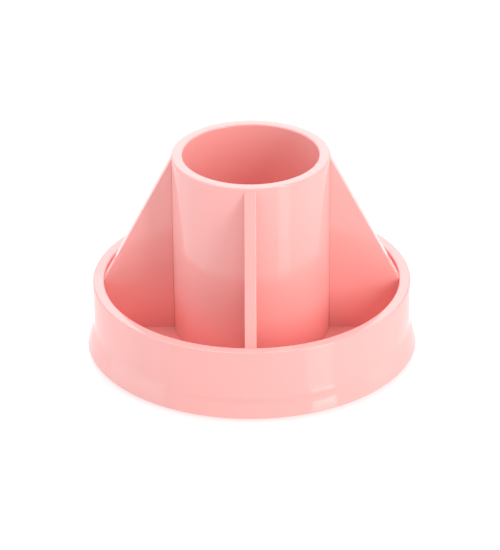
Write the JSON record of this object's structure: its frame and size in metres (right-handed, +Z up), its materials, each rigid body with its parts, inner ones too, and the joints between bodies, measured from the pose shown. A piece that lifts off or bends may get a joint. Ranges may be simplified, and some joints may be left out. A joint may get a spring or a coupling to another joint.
{
  "type": "round carousel caddy",
  "caption": "Round divided tray that turns on a low ball-race base, with a tall open cup at its centre and upright sloping dividers from the cup out to the rim.",
  "frame": {"origin": "on the axis of rotation, on the plane that the rubber feet stand on", "axes": "+Z up along the axis of rotation, +Y away from the viewer, one divider along each of +X, +Y, -X and -Y at rest"},
  "size_m": [0.15, 0.15, 0.0942],
  "materials": {
    "pink_gloss": "high-gloss moulded pink plastic",
    "pink_satin": "satin moulded pink plastic",
    "steel": "bright zinc-plated steel",
    "nylon": "natural nylon",
    "rubber": "matt grey rubber"
  },
  "bodies": {
    "base": {"base_disc": "pink_satin", "foot_rear_right": "rubber", "foot_rear_left": "rubber", "foot_front_left": "rubber", "foot_front_right": "rubber"},
    "cage": {"ball_cage": "nylon", "bearing_balls": "steel"},
    "carousel": {"tray": "pink_gloss", "centre_cup": "pink_gloss", "divider_right": "pink_gloss", "divider_rear": "pink_gloss", "divider_left": "pink_gloss", "divider_front": "pink_gloss", "retaining_washer": "steel", "pivot_screw": "steel", "cup_screws": "steel"}
  },
  "joints": [
    {"name": "carousel_spin", "type": "hinge", "parent": "base", "child": "carousel", "pos_m": [0, 0, 0], "axis": [0, 0, 1], "continuous": true},
    {"name": "cage_roll", "type": "hinge", "parent": "base", "child": "cage", "pos_m": [0, 0, 0], "axis": [0, 0, 1], "continuous": true}
  ],
  "couplings": [
    {"joint": "cage_roll", "follows": "carousel_spin", "ratio": 0.5}
  ]
}
